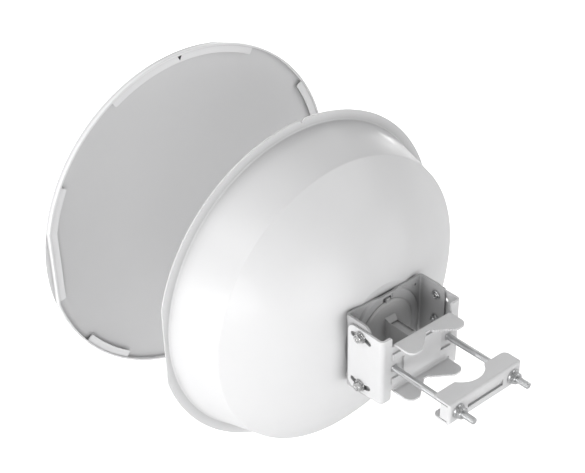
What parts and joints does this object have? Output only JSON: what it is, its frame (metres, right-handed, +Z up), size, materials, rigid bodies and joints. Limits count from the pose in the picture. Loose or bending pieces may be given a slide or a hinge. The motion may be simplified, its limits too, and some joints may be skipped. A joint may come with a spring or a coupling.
{
  "type": "outdoor wireless bridge",
  "caption": "Point-to-point wireless bridge: dish reflector with a feed radio, push-fit radome, tilting two-part steel bracket and a bolted mast clamp.",
  "frame": {"origin": "on the mast's centre line, half way up the clamp", "axes": "+Z is up along the mast, and the antenna looks along -Y, away from the mast; +X completes the right-handed frame, so it is on the left of somebody who stands behind the mast and looks along the beam"},
  "size_m": [0.462, 0.5678, 0.462],
  "materials": {
    "bracket_paint": "satin",
    "dish_paint": "satin",
    "white_plastic": "satin",
    "radome_plastic": "matte",
    "feed_plastic": "matte",
    "zinc_steel": "satin",
    "stainless_steel": "polished",
    "bare_aluminium": "satin",
    "board_green": "satin",
    "chip_black": "matte",
    "port_black": "satin",
    "seal_rubber": "matte",
    "grommet_rubber": "matte"
  },
  "bodies": {
    "pole_mount": {"pole_bracket": "bracket_paint", "carriage_bolt_left": "zinc_steel", "carriage_bolt_right": "zinc_steel", "pivot_studs": "zinc_steel", "pivot_nuts": "zinc_steel"},
    "clamp": {"clamp_jaw": "bracket_paint"},
    "left_nut": {"clamp_nut_left": "zinc_steel"},
    "right_nut": {"clamp_nut_right": "zinc_steel"},
    "antenna": {"dish_bracket": "bracket_paint", "dish_screws": "stainless_steel", "dish_nuts": "zinc_steel", "tilt_bolts": "stainless_steel", "tilt_washers": "stainless_steel", "tilt_nuts": "zinc_steel", "reflector_dish": "dish_paint", "hub_ring": "bare_aluminium", "rear_housing": "white_plastic", "housing_seal": "seal_rubber", "radio_tube": "white_plastic", "waveguide": "bare_aluminium", "feed_cone": "feed_plastic", "splash_plate": "bare_aluminium", "radio_board": "board_green", "board_chips": "chip_black", "shield_can": "zinc_steel", "heat_spreader": "bare_aluminium", "jack_board": "board_green", "ethernet_jack": "port_black"},
    "port_door": {"port_cover": "white_plastic", "cable_grommet": "grommet_rubber"},
    "front_cover": {"radome": "radome_plastic"}
  },
  "joints": [
    {"name": "clamp_slide", "type": "slide", "parent": "pole_mount", "child": "clamp", "axis": [0, 1, 0], "range_m": [-0.045, 0.008]},
    {"name": "left_nut_spin", "type": "hinge", "parent": "clamp", "child": "left_nut", "pos_m": [0.04375, 0.06, 0], "axis": [0, 1, 0], "continuous": true},
    {"name": "right_nut_spin", "type": "hinge", "parent": "clamp", "child": "right_nut", "pos_m": [-0.04375, 0.06, 0], "axis": [0, 1, 0], "continuous": true},
    {"name": "dish_tilt", "type": "hinge", "parent": "pole_mount", "child": "antenna", "pos_m": [0, -0.0763, 0], "axis": [1, 0, 0], "range_deg": [-16, 16]},
    {"name": "radome_slide", "type": "slide", "parent": "antenna", "child": "front_cover", "axis": [0, 1, 0], "range_m": [0, 0.224]},
    {"name": "port_cover_pull", "type": "slide", "parent": "antenna", "child": "port_door", "axis": [0, 0, -1], "range_m": [0, 0.022]}
  ],
  "couplings": [
    {"joint": "left_nut_spin", "follows": "clamp_slide", "rad_per_m": 5026.5},
    {"joint": "right_nut_spin", "follows": "clamp_slide", "rad_per_m": 5026.5}
  ]
}
